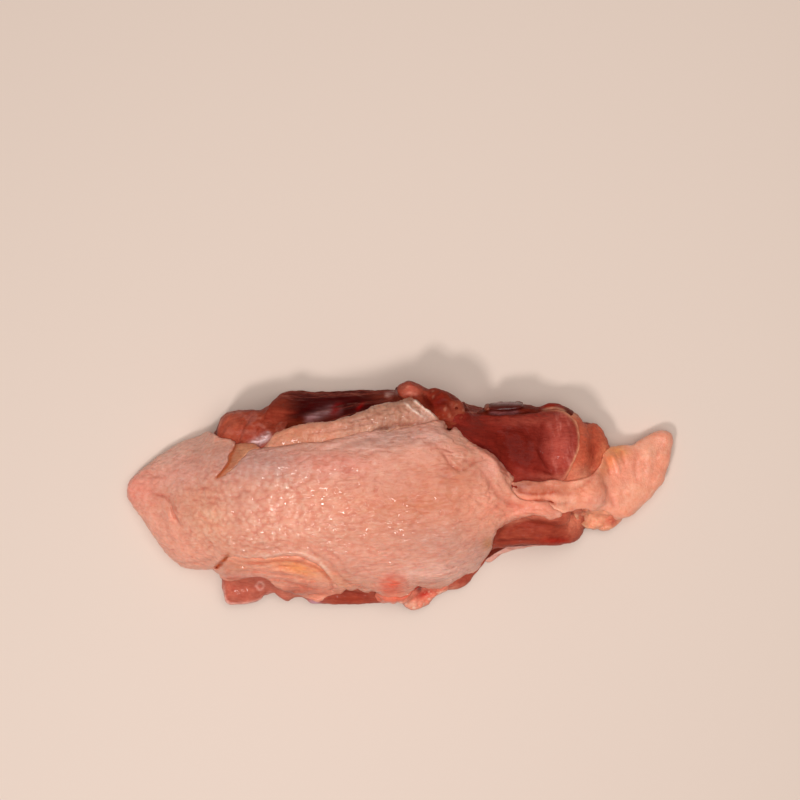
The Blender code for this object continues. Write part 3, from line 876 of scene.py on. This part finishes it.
# Paler lines along the skin's curled rims: partly the thin skin's own colour and partly painted highlight
pale_rim_and_highlight = stroke([(238, 556), (262, 556), (281, 554), (300, 553), (314, 558), (324, 567), (334, 580)], 1.3)
pale_rim_and_highlight += stroke([(492, 548), (494, 536), (500, 529), (510, 523), (528, 517), (546, 518)], 1.2)
skin_colour = patches((225, 153, 128), [
    ((202, 148, 134), spot(262, 462, 66, 22, -4)),
    # Painted light: the flap's far slope faces away from the lamps, so these two patches lift it paler
    ((255, 182, 160), spot(180, 449, 44, 15, -35)),
    ((236, 166, 148), spot(182, 474, 24, 14, -20) * 0.8),
    # Painted shade: darker here, to tone down the key lamp's glare on the middle of the skin
    ((228, 142, 112), spot(335, 502, 46, 18) * 0.6),
    ((240, 172, 152), spot(467, 561, 24, 12, -30) * 0.8),
    ((208, 156, 140), spot(385, 439, 62, 12, -8)),
    ((230, 172, 154), spot(428, 434, 16, 8)),
    ((220, 134, 114), spot(335, 464, 40, 12) * 0.75),
    ((250, 152, 132), spot(136, 492, 20, 22)),
    ((250, 168, 142), spot(160, 530, 40, 22, 52)),
    ((248, 166, 140), spot(186, 552, 34, 16, 20) * 0.9),
    ((240, 168, 136), spot(210, 516, 22, 26) * 0.8),
    ((220, 152, 130), spot(244, 500, 26, 18) * 0.8),
    ((236, 160, 134), spot(290, 518, 50, 26) * 0.9),
    ((216, 133, 102), spot(425, 502, 66, 26, -6)),
    ((210, 128, 98), spot(440, 474, 40, 12, 6) * 0.7),
    ((216, 154, 134), spot(444, 542, 48, 20, -4) * 0.85),
    ((244, 184, 164), spot(432, 572, 52, 12)),
    ((238, 162, 138), spot(370, 562, 50, 14) * 0.8),
    ((246, 164, 136), spot(492, 508, 28, 28)),
    ((246, 148, 120), spot(530, 508, 34, 9)),
    ((240, 164, 142), spot(490, 468, 10, 11, 40)),
    ((240, 160, 126), spot(330, 580, 22, 9, 20)),
    ((200, 130, 124), flecks(0.2, 0.6, 13, 2.4, 127) * spot(462, 560, 34, 18) * 0.5),
    ((205, 130, 76), spot(488, 544, 5, 6) * 0.8),
    ((196, 90, 66), spot(376, 490, 1.9) + spot(292, 488, 1.8, 1.1) + spot(421, 429, 2.2, 1.6)),
    ((210, 120, 96), rows_of_folds * 0.6),
    ((212, 116, 92), red_pores * 0.3 * (0.4 + 0.6 * flap)),
    ((210, 120, 98), film_band * 0.7),
    ((236, 168, 146), stroke([(468, 440), (479, 447), (490, 453), (500, 462), (508, 471), (513, 478)], 1.1)),
    ((250, 196, 172), pale_rim_and_highlight * 0.6),
    ((236, 110, 84), red_bulge * (1.15 + 0.5 * chart_noise(9, 2.6, 128))),
    ((212, 96, 76), stroke([(384, 582), (391, 577), (400, 577), (407, 583), (408, 592)], 1.4) * 0.5),
    ((190, 92, 46), near_line),
    ((184, 90, 54), slit_line),
    # Painted shade: a dark spot in the small tear at the skin's far edge
    ((150, 60, 40), spot(447, 428, 3.0)),
], skin_crease, 0.3)
slit_colour = patches((188, 118, 88), [((176, 84, 46), slit_line), ((204, 138, 104), spot(246, 452, 8, 7))])
blade_colour = patches((206, 143, 118), [
    ((214, 140, 110), spot(300, 434, 40, 12)),
    ((194, 140, 116), granular * 0.9),
    ((206, 158, 140), spot(426, 418, 14, 9, 30)),
    ((246, 214, 196), stroke(TENDONS[0], 1.2) + stroke(TENDONS[1], 1.1)),
    # Painted shade: darker in the crease along the blade fat
    ((150, 106, 90), stroke(BLADE_CREASE, 2.2) * 0.7),
], blade_crease, 0.35)
cream_line = [(537, 411), (557, 409), (570, 415), (578, 426), (580, 444), (576, 457), (570, 470), (562, 480)]
# Pale streaks on the second lobe: partly its own pale fibres and partly painted highlight
lobe_streaks_and_highlights = smooth_step(0.1, 0.8, lobe_fibres + 0.5 * chart_noise(9, 9, 113)) * in_lobe
oyster_colour = patches((136, 44, 37), [
    # Painted shade: darker in the hollow of the oyster muscle
    ((110, 32, 27), spot(515, 444, 32, 22)),
    ((156, 66, 54), spot(530, 421, 34, 5)),
    ((182, 80, 68), spot(561, 446, 16, 34)),
    ((214, 126, 112), lobe_streaks_and_highlights * 0.6 * spot(560, 446, 18, 34)),
    ((156, 56, 46), spot(530, 476, 34, 7)),
    ((184, 96, 78), spot(556, 480, 22, 5)),
    ((240, 156, 120), stroke(cream_line, 1.7)),
], oyster_crease, 0.45)
hip_colour = patches((104, 36, 28), [
    ((150, 92, 92), stroke([(488, 413), (504, 414), (520, 412)], 2.0)),
    ((150, 38, 10), stroke([(538, 405), (552, 405), (566, 408)], 4.5)),
    ((190, 130, 104), stroke([(541, 410), (556, 408), (567, 412)], 1.2)),
], hip_crease, 0.4)
side_colour = patches((204, 98, 72), [
    ((216, 132, 104), spot(584, 476, 18, 9)),
    ((226, 138, 100), spot(604, 458, 6, 12)),
    ((186, 78, 56), spot(592, 448, 9, 14)),
    ((214, 140, 110), spot(576, 414, 6, 4)),
])
tail_colour = patches((244, 156, 127), [
    # Painted shadow: a darker orange-brown line in the fold at the tail's root
    ((172, 98, 80), spot(522, 486, 18, 6)),
    ((198, 112, 86), spot(552, 490, 26, 7)),
    # Painted shadow along the same fold
    ((190, 88, 60), stroke([(514, 490), (530, 494), (548, 493), (562, 491)], 1.6)),
    ((184, 82, 56), stroke([(528, 500), (546, 501), (560, 504), (572, 502)], 1.8)),
    ((232, 142, 108), spot(582, 491, 16, 9)),
    ((255, 158, 98), spot(616, 450, 11, 8)),
    ((240, 138, 92), spot(610, 462, 7, 12, 20)),
    ((255, 160, 134), spot(600, 501, 16, 9)),
    ((255, 176, 146), spot(652, 446, 14, 12)),
    ((255, 182, 152), flecks(0.1, 0.7, 16, 15, 124) * 0.4),
    ((216, 136, 100), spot(603, 468, 4, 12)),
    ((250, 150, 124), spot(618, 482, 10, 14) * 0.7),
    ((254, 168, 138), spot(632, 494, 24, 18)),
    ((242, 160, 132), spot(660, 440, 12, 10)),
], tail_crease, 0.25)
muscle_colour = patches((160, 66, 50), [
    ((150, 64, 48), spot(508, 532, 18, 10)),
    ((232, 130, 102), spot(575, 520, 9, 15)),
    ((186, 90, 70), spot(540, 514, 30, 4)),
    ((172, 46, 36), spot(556, 541, 14, 3)),
    ((140, 58, 46), stroke([(492, 541), (506, 540), (522, 539), (536, 540)], 1.2)),
    ((206, 124, 100), stroke([(500, 527), (520, 520), (542, 517), (562, 520)], 2.4) * 0.5),
], muscle_crease, 0.3)
near_film_colour = patches((230, 172, 154), [((186, 104, 90), flecks(0.1, 0.6, 14, 3, 125) * 0.6)])
under_tail_colour = patches((238, 158, 124), [
    ((205, 94, 70), spot(612, 521, 7, 5)),
    ((200, 100, 76), spot(578, 510, 7, 8)),
    ((244, 180, 140), flecks(0.3, 0.6, 5, 4, 116) * 0.8),
])
white_edge = stroke([(247, 449), (256, 443), (266, 437), (272, 434)], 4.0)
shoulder_colour = patches((156, 64, 47), [
    # Painted shade: darker on the shoulder's far upper lobe
    ((110, 42, 32), spot(294, 406, 24, 14, -30)),
    ((186, 88, 66), spot(230, 424, 12, 14)),
    ((186, 112, 98), flecks(0.0, 0.6, 9, 7, 118) * 0.5 * spot(254, 424, 32, 16)),
    ((196, 112, 92), stroke([(218, 430), (222, 418), (230, 413), (244, 411)], 1.6) * 0.8),
    ((246, 210, 208), white_edge * (0.35 + 0.65 * flecks(-0.2, 0.5, 8, 2, 122))),
])
clots = spot(336, 409, 6.5, 3.8, -48) + stroke([(356, 412), (360, 406), (366, 401)], 1.7, 0.3)
lilac_film = stroke([(303, 423), (314, 417), (328, 411), (344, 409)], 4.2)
# The flank's ground is its own dark red meat, darkened further by painted shade
flank_colour = patches((76, 23, 14), [
    ((144, 60, 46), smooth_step(305, 275, chart_u)),
    ((120, 46, 33), spot(300, 424, 30, 5, -15)),
    ((136, 58, 44), spot(392, 396, 20, 8)),
    ((186, 138, 140), lilac_film * (0.6 + 0.4 * chart_noise(9, 2, 129))),
    ((226, 178, 168), stroke([(384, 395), (394, 391), (406, 390)], 3.0)),
    ((152, 16, 15), clots),
    # Painted shadow: nearly black towards the flank's far edge
    ((60, 18, 12), smooth_step(396, 388, chart_v) * 0.9),
], flank_crease, 0.4)
lump_colour = patches((136, 50, 36), [
    ((184, 90, 72), spot(410, 389, 13, 8)),
    ((206, 130, 112), stroke([(402, 395), (410, 393), (418, 395)], 1.5) * 0.4),
    ((120, 32, 24), spot(438, 402, 9, 9)),
    ((154, 72, 54), spot(457, 413, 8, 12)),
    ((190, 120, 96), flecks(0.45, 0.8, 4, 4, 119) * 0.5),
], lump_crease, 0.4)
edge_fat_colour = patches((246, 166, 138), [
    ((224, 150, 122), spot(235, 566, 22, 10)),
    ((252, 158, 104), spot(298, 568, 26, 7, 14)),
    ((228, 134, 108), spot(314, 590, 26, 7, 10)),
    ((220, 146, 130), spot(246, 577, 24, 4)),
    ((176, 94, 76), spot(292, 592, 18, 5)),
    # Painted shade: a darker orange line just under the skin's curled rim
    ((196, 98, 66), stroke([(236, 562), (262, 563), (285, 560), (308, 564), (322, 572), (334, 585)], 1.6) * 0.7),
    ((190, 86, 40), near_line),
    ((214, 112, 88), flecks(0.2, 0.6, 12, 2.6, 95) * 0.5),
], fat_crease, 0.25)
film_edge = stroke([(223, 578), (224, 594), (228, 603), (240, 604), (254, 602), (264, 597), (272, 590)], 1.4)
rib_colour = patches((190, 98, 80), [
    ((152, 60, 45), spot(350, 599, 36, 9)),
    ((200, 114, 94), spot(295, 594, 22, 8)),
    ((196, 140, 150), spot(314, 603, 6, 4)),
    ((226, 160, 146), film_edge),
    ((220, 146, 130), stroke(RIB_END, 1.2, 0)),
], rib_crease, 0.35)
red_lump_colour = patches((228, 118, 92), [
    ((206, 84, 64), stroke([(384, 580), (393, 573), (404, 576), (408, 586)], 2.0)),
    ((240, 146, 116), spot(392, 590, 8, 5)),
])
tip_colour = patches((234, 132, 106), [
    ((190, 46, 34), spot(424, 594, 9, 3, -20) + spot(416, 588, 6, 3)),
    ((240, 168, 142), spot(412, 605, 9, 4)),
    ((252, 208, 182), flecks(0.35, 0.6, 5, 4, 115) * 0.6),
    ((120, 30, 22), spot(419, 589, 2.5, 3.5)),
])
strip_colour = patches((180, 84, 66), [((205, 120, 98), spot(450, 588, 14, 4))])
core_colour = patches((120, 42, 31), [
    # Painted shadow: nearly black over the far flank
    ((64, 20, 11), spot(320, 396, 60, 14)),
    ((177, 83, 66), spot(450, 586, 40, 12)),
    ((188, 88, 66), spot(604, 438, 12, 18, 20)),
    ((150, 66, 44), spot(572, 410, 12, 9)),
    ((240, 150, 122), smooth_step(628, 640, chart_u)),
])
bone_colour = patches((86, 34, 30), [
    # Painted highlight: a paler line along the top of the hip bone
    ((130, 84, 88), stroke([(492, 403), (506, 403), (520, 404)], 1.1)),
    ((70, 24, 22), spot(510, 409, 14, 1.5)),
])
gristle_colour = patches((124, 60, 44), [])


def tinted(chart, spread=0.05, seed=1):
    """The tint of a tissue: from a chart, with blotches a few millimetres wide."""

    def paint(points, facing):
        x, y, z = points.T / 5.0
        blotch = 1 + spread * octaves(x, y, z, 3, seed)
        return look(chart, *pixels(*points.T)) * blotch[:, None]

    return paint


def with_walls(paint):
    """A paint whose steep sides show layers of muscle and fat."""

    def layered(points, facing):
        layer = layers_of(points)
        wall = covered(own_colour(150, 62, 50), [
            ((198, 122, 102), 0.6 * smooth_step(0.15, 0.7, layer)),
            ((100, 34, 27), 0.7 * smooth_step(-0.1, -0.7, layer)),
        ])
        share = steepness(facing)[:, None]
        return paint(points, facing) * (1 - share) + wall * share

    return layered


def skin_paint(points, facing):
    """Pimples are pale, what lies between them is flushed, and streaks and wrinkles are redder still."""
    bumps, streaks, wrinkles = skin_grain(points)
    tint = tinted(skin_colour, 0.06)(points, facing)
    pale = own_colour(246, 202, 172) / own_colour(226, 149, 121)
    flush = own_colour(206, 116, 94) / own_colour(226, 149, 121)
    gaps = np.clip(0.35 - bumps, 0, 0.35) * look(pimple_strength, *pixels(*points.T))
    flushed = np.clip(0.45 * streaks, 0, 0.35) + 1.1 * gaps
    for colour, mask in ((pale, 0.4 * bumps), (flush, flushed), (flush, 0.5 * wrinkles)):
        tint = tint * (1 + (colour - 1) * np.clip(mask, 0, 1)[:, None])
    return tint


def core_paint(points, facing):
    """Meat, and underneath the ribs and the spine under their film."""
    x, y, z = points.T
    tint = with_walls(tinted(core_colour, 0.15, 5))(points, facing)
    rows = np.cos(2 * np.pi * (x + 0.3 * np.abs(y)) / RIB_PITCH)
    rib = smooth_step(-0.1, 0.7, rows + 0.3 * noise(x / 5, y / 5, z / 5))
    spine = np.exp(-((y / SPINE_HALF_WIDTH) ** 2))
    joints = smooth_step(0.2, 0.9, np.cos(2 * np.pi * x / JOINT_PITCH))
    under = covered(own_colour(150, 58, 48), [
        ((196, 132, 118), 0.75 * rib),
        ((206, 158, 146), spine),
        ((150, 66, 58), 0.7 * spine * joints),
    ])
    share = smooth_step(0.05, -0.35, facing[:, 2])[:, None]
    return tint * (1 - share) + under * share


# ---------------------------------------------------------------- materials


BLOTCH_SIZE = 2.6
PORE_SHARE = 0.45
BUMP_HEIGHT = 0.5
RIPPLE_SIZE, RIPPLE_STRETCH, RIPPLE_HEIGHT = 2.0, 1.6, 0.7
COAT_ROUGHNESS = 0.09
SUBSURFACE_RADIUS = (1.0, 0.35, 0.2)


def link(tree, source, socket):
    tree.links.new(source, socket)


def with_values(made, values):
    """A node with its inputs, or else its own properties, set by their names."""
    for key, value in values.items():
        if key in made.inputs:
            made.inputs[key].default_value = value
        else:
            setattr(made, key, value)
    return made


def node(tree, kind, **values):
    return with_values(tree.nodes.new(kind), values)


def new_material(name, **values):
    """A material and its shader, with the shader's inputs set by their names."""
    material = bpy.data.materials.new(name)
    material.use_nodes = True
    return material, with_values(material.node_tree.nodes["Principled BSDF"], values)


def ranged(tree, source, low, high):
    """A value that runs from low to high as a noise runs over its middle range."""
    made = node(tree, "ShaderNodeMapRange", **{"From Min": 0.3, "From Max": 0.7, "To Min": low, "To Max": high})
    link(tree, source, made.inputs["Value"])
    return made.outputs["Result"]


def grain_of(tree, place, size, stretch=1.0, turn=0.0, detail=3.0):
    """Noise whose grains are size millimetres wide, and longer by stretch at a turn about Z in degrees."""
    mapping = node(tree, "ShaderNodeMapping", Rotation=(0, 0, -math.radians(turn)), Scale=(1 / stretch, 1, 1))
    link(tree, place, mapping.inputs["Vector"])
    made = node(tree, "ShaderNodeTexNoise", Scale=1 / (size * MM), Detail=detail, Roughness=0.6)
    link(tree, mapping.outputs["Vector"], made.inputs["Vector"])
    return made.outputs["Fac"]


def scaled(tree, colour, noise_value, low, high):
    """A colour multiplied by one running from the colour low to the colour high with a noise."""
    mix = node(tree, "ShaderNodeMix", data_type="RGBA")
    mix.inputs[6].default_value = (*low, 1)
    mix.inputs[7].default_value = (*high, 1)
    link(tree, ranged(tree, noise_value, 0.0, 1.0), mix.inputs[0])
    product = node(tree, "ShaderNodeVectorMath", operation="MULTIPLY")
    link(tree, colour, product.inputs[0])
    link(tree, mix.outputs[2], product.inputs[1])
    return product.outputs["Vector"]


def flesh(name, roughness, coat, subsurface, bump, grain, red, pale, stretch=1.0, turn=0.0, specular=0.3, ior=1.4,
          ripple=0.0):
    """Wet raw flesh. The tint attribute is its colour, flushed towards red and paled towards pale by its grain."""
    material, shader = new_material(name, **{
        "Subsurface Weight": subsurface, "Subsurface Radius": SUBSURFACE_RADIUS, "Subsurface Scale": MM,
        "Coat Weight": coat, "Coat Roughness": COAT_ROUGHNESS, "Specular IOR Level": specular, "IOR": ior,
    })
    tree = material.node_tree
    place = node(tree, "ShaderNodeTexCoord").outputs["Object"]
    tint = node(tree, "ShaderNodeAttribute", attribute_name="tint").outputs["Color"]
    blotches = grain_of(tree, place, BLOTCH_SIZE)
    strands = grain_of(tree, place, grain, stretch, turn)
    pores = grain_of(tree, place, grain * PORE_SHARE, detail=2.0)
    colour = scaled(tree, tint, blotches, red, pale)
    colour = scaled(tree, colour, strands, red, pale)
    link(tree, colour, shader.inputs["Base Color"])
    height = node(tree, "ShaderNodeMath", operation="ADD")
    link(tree, strands, height.inputs[0])
    link(tree, ranged(tree, pores, 0.0, 0.3), height.inputs[1])
    raised = node(tree, "ShaderNodeBump", Strength=bump, Distance=BUMP_HEIGHT * MM)
    link(tree, height.outputs[0], raised.inputs["Height"])
    link(tree, raised.outputs["Normal"], shader.inputs["Normal"])
    if ripple:
        rippled = node(tree, "ShaderNodeBump", Strength=ripple, Distance=RIPPLE_HEIGHT * MM)
        link(tree, grain_of(tree, place, RIPPLE_SIZE, RIPPLE_STRETCH, detail=1.0), rippled.inputs["Height"])
        link(tree, rippled.outputs["Normal"], shader.inputs["Coat Normal"])
    link(tree, ranged(tree, blotches, roughness * 0.7, roughness * 1.3), shader.inputs["Roughness"])
    return material


WET = {"roughness": 0.42, "subsurface": 0.25}
SKIN_TONES = {"red": (0.98, 0.9, 0.87), "pale": (1.03, 1.12, 1.15)}
FAT_TONES = {"red": (0.96, 0.86, 0.83), "pale": (1.05, 1.12, 1.14)}
MEAT_TONES = {"red": (0.9, 0.8, 0.8), "pale": (1.12, 1.24, 1.24)}
BONE_TONES = {"red": (0.9, 0.86, 0.9), "pale": (1.1, 1.1, 1.1)}
skin_material = flesh("skin", coat=0.42, bump=0.7, grain=0.8, stretch=3.5, ripple=1.0, **WET, **SKIN_TONES)
tail_material = flesh("tail_skin", coat=0.34, bump=0.5, grain=1.2, ripple=0.5, **WET, **SKIN_TONES)
fat_material = flesh("fat", coat=0.36, bump=0.7, grain=0.8, stretch=2.2, ripple=0.8, **WET, **FAT_TONES)
meats = {
    turn: flesh(f"meat_{turn % 180}", roughness=0.5, coat=0.05, subsurface=0.15, bump=0.7, grain=0.8, stretch=4.0,
                turn=turn, specular=0.15, ior=1.3, **MEAT_TONES)
    for turn in (0, 12, 75, -50)
}
film_material = flesh("film", roughness=0.55, coat=0.02, subsurface=0.1, bump=0.5, grain=1.0, stretch=4.0,
                      specular=0.1, ior=1.12, **MEAT_TONES)
bone_material = flesh("bone", roughness=0.3, coat=0.3, subsurface=0.2, bump=0.2, grain=1.4, stretch=2.0, **BONE_TONES)


# ---------------------------------------------------------------- the tissues


def lay(name, points, relief, colour, material, proud, depth=4.0, step=0.45, rounding=0.7, ragged=0.25,
        spread=0.08, most=60000, swell=fleshy, paint=None, cap=None, ceiling=None):
    """Lays a tissue over the solid within an outline: its top stands proud of the solid and its sole lies below.

    Proud, depth, step (of its lattice), rounding and ragged are in millimetres. A cap keeps the tissue to the topmost
    millimetres of steep sides, and a ceiling keeps it below a height. Where the skin covers it, it lies deeper.
    """
    edge = outline(points, ragged)
    if name != "skin":
        relief = relief - UNDER_SKIN * under_skin

    def field(block):
        top = block.cad - proud - block.chart(relief)
        whole = np.maximum(smooth_max(top, block.chart(edge), rounding), -block.cad - depth)
        if cap:
            whole = smooth_max(whole, -block.above(cap), rounding)
        return np.maximum(whole, block.z - ceiling) if ceiling else whole

    low, high = box_of(points)
    paint = paint or with_walls(tinted(colour, spread, len(points)))
    tissue(name, low, high, step, field, paint, swell, material, most)


under_skin = smooth_step(0.3, -1.5, outline(SKIN, 0.3))
FLAT = 0 * chart_u
# Painted shade between the fat's grains: how much darker each channel gets there
GAP_SHADE = np.array([0.3, 0.45, 0.5])


def fat_grains(points):
    """The grains of the fat along the shoulder blade, from 0 to 1, and how grainy it is there."""
    x, y, z = points.T
    return domes(x, y, 1.9, 1.5, 1.05, 71), look(granular, *pixels(x, y, z))


def grainy(points, facing):
    """The swell of the fat along the shoulder blade, grainy towards the tail."""
    grains, share = fat_grains(points)
    return 0.3 * (grains * share) + lumpy(0.3, 2.4)(points, facing)


def grainy_paint(points, facing):
    grains, share = fat_grains(points)
    # The gaps between the grains get painted shade
    gaps = np.clip(0.45 - grains, 0, 0.45) * share
    return tinted(blade_colour, 0.12)(points, facing) * (1 - gaps[:, None] * GAP_SHADE)


core = tissue("core", cad_low / MM - CORE_MARGIN, cad_high / MM + CORE_MARGIN, CORE_STEP,
              lambda block: block.cad + CORE_SUNK, core_paint, fleshy, meats[0], 100000)
lay("skin", SKIN, skin_relief, None, skin_material, 0.9, 2.4, 0.39, 1.1, 0.3, most=196000,
    swell=skin_swell, paint=skin_paint)
lay("slit_fat", SLIT_FAT, ragged_relief * 0.4, slit_colour, fat_material, 0.9, most=15000)
lay("hip_edge", HIP_EDGE, hip_relief, hip_colour, meats[0], -0.2, 5.0, most=30000, cap=9)
lay("oyster", OYSTER, oyster_relief, oyster_colour, meats[12], 0.4, spread=0.12, cap=14)
lay("side_meat", SIDE_MEAT, rib_relief, side_colour, meats[75], -0.4, spread=0.1, most=40000, cap=12)
lay("tail", TAIL, tail_relief, None, tail_material, 0.8, 30.0, most=80000, paint=tinted(tail_colour, 0.1),
    swell=lumpy(0.16, 5.5))
lay("near_muscle", NEAR_MUSCLE, muscle_relief, muscle_colour, meats[0], 0.1, 6.0, spread=0.12, most=45000)
lay("near_film", NEAR_FILM, FLAT, near_film_colour, fat_material, 6.0, 1.0, 0.35, 0.4, 0.2,
    most=10000, ceiling=1.4)
lay("under_tail", UNDER_TAIL, ragged_relief, under_tail_colour, fat_material, 0.1, 10.0, most=25000)
lay("blade_fat", BLADE_FAT, blade_relief, None, fat_material, 0.6, 4.0, 0.42, 0.9, most=75000,
    swell=grainy, paint=grainy_paint, cap=6)
lay("shoulder", SHOULDER, shoulder_relief, shoulder_colour, meats[-50], 0.2, 5.0, rounding=0.8, spread=0.14,
    most=40000)
lay("flank", FLANK, flank_relief, flank_colour, film_material, -0.4, 5.0, spread=0.2, most=45000)
lay("lumps", LUMPS, lump_relief, lump_colour, meats[-50], 0.3, 5.0, spread=0.15, most=35000, cap=10)
lay("edge_fat", EDGE_FAT, fat_relief, edge_fat_colour, fat_material, 0.5, most=45000)
lay("rib_meat", RIB_MEAT, rib_relief, rib_colour, meats[0], -0.3, 6.0, spread=0.12, most=40000)
lay("red_lump", RED_LUMP, red_relief, red_lump_colour, fat_material, 0.9, 6.0, 0.4, 0.8, 0.3, most=20000,
    cap=10)
lay("edge_tip", EDGE_TIP, ragged_relief, tip_colour, fat_material, 0.5, 6.0, 0.4, spread=0.14, most=25000)
lay("near_strip", NEAR_STRIP, rib_relief, strip_colour, meats[0], 0.0, 5.0, spread=0.12, most=25000)
smooth = lumpy(0.05, 3)
lay("hip_bone", HIP_BONE, FLAT, None, bone_material, 1.7, 4.0, 0.3, 2.2, 0.0, most=12000,
    swell=smooth, paint=tinted(bone_colour), cap=6)
lay("hip_gristle", HIP_GRISTLE, FLAT, None, bone_material, 1.5, 4.0, 0.3, 2.0, 0.1, most=8000,
    swell=smooth, paint=tinted(gristle_colour), cap=6)

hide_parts("chicken_back")


# ---------------------------------------------------------------- stage


FLOOR_REACH = 3.0
FLOOR_LOOK = {"Base Color": (0.74, 0.62, 0.55, 1), "Roughness": 0.6}
SKY_LOOK = {"Color": (1.0, 0.92, 0.85, 1), "Strength": 0.2}

# Square lamps, as name: (place and size in metres, power in watts, colour)
LAMPS = {
    "sky": ((0.1, 0.1, 1.0), 0.8, 6.2, (1.0, 0.95, 0.9)),
    "key": ((-0.3, -0.42, 0.95), 0.15, 4.6, (1.0, 0.94, 0.9)),
}


def make_floor():
    mesh = bpy.data.meshes.new("floor")
    corners = [(-1, -1), (1, -1), (1, 1), (-1, 1)]
    mesh.from_pydata([(x * FLOOR_REACH, y * FLOOR_REACH, 0) for x, y in corners], [], [(0, 1, 2, 3)])
    mesh.materials.append(new_material("floor", **FLOOR_LOOK)[0])
    placed("floor", mesh)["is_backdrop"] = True


def make_lamp(name, place, size, power, colour):
    """A lamp that shines on the middle of the object."""
    data = bpy.data.lights.new(name, "AREA")
    data.size = size
    data.energy = power
    data.color = colour
    light = placed(name, data)
    light.location = place
    light.rotation_euler = (-Vector(place)).to_track_quat("-Z", "Y").to_euler()


def make_camera():
    data = bpy.data.cameras.new("camera")
    data.sensor_width = SENSOR
    data.lens = SENSOR * CAMERA_HEIGHT / (FRAME_PIXELS * PIXEL)
    camera = placed("camera", data)
    camera.location = (CENTRE_X * MM, CENTRE_Y * MM, CAMERA_HEIGHT * MM)
    bpy.context.scene.camera = camera


def make_world():
    world = bpy.data.worlds.new("studio")
    bpy.context.scene.world = world
    world.use_nodes = True
    with_values(world.node_tree.nodes["Background"], SKY_LOOK)


make_floor()
make_camera()
make_world()
for lamp, settings in LAMPS.items():
    make_lamp(lamp, *settings)
bpy.context.scene.view_settings.view_transform = "Standard"
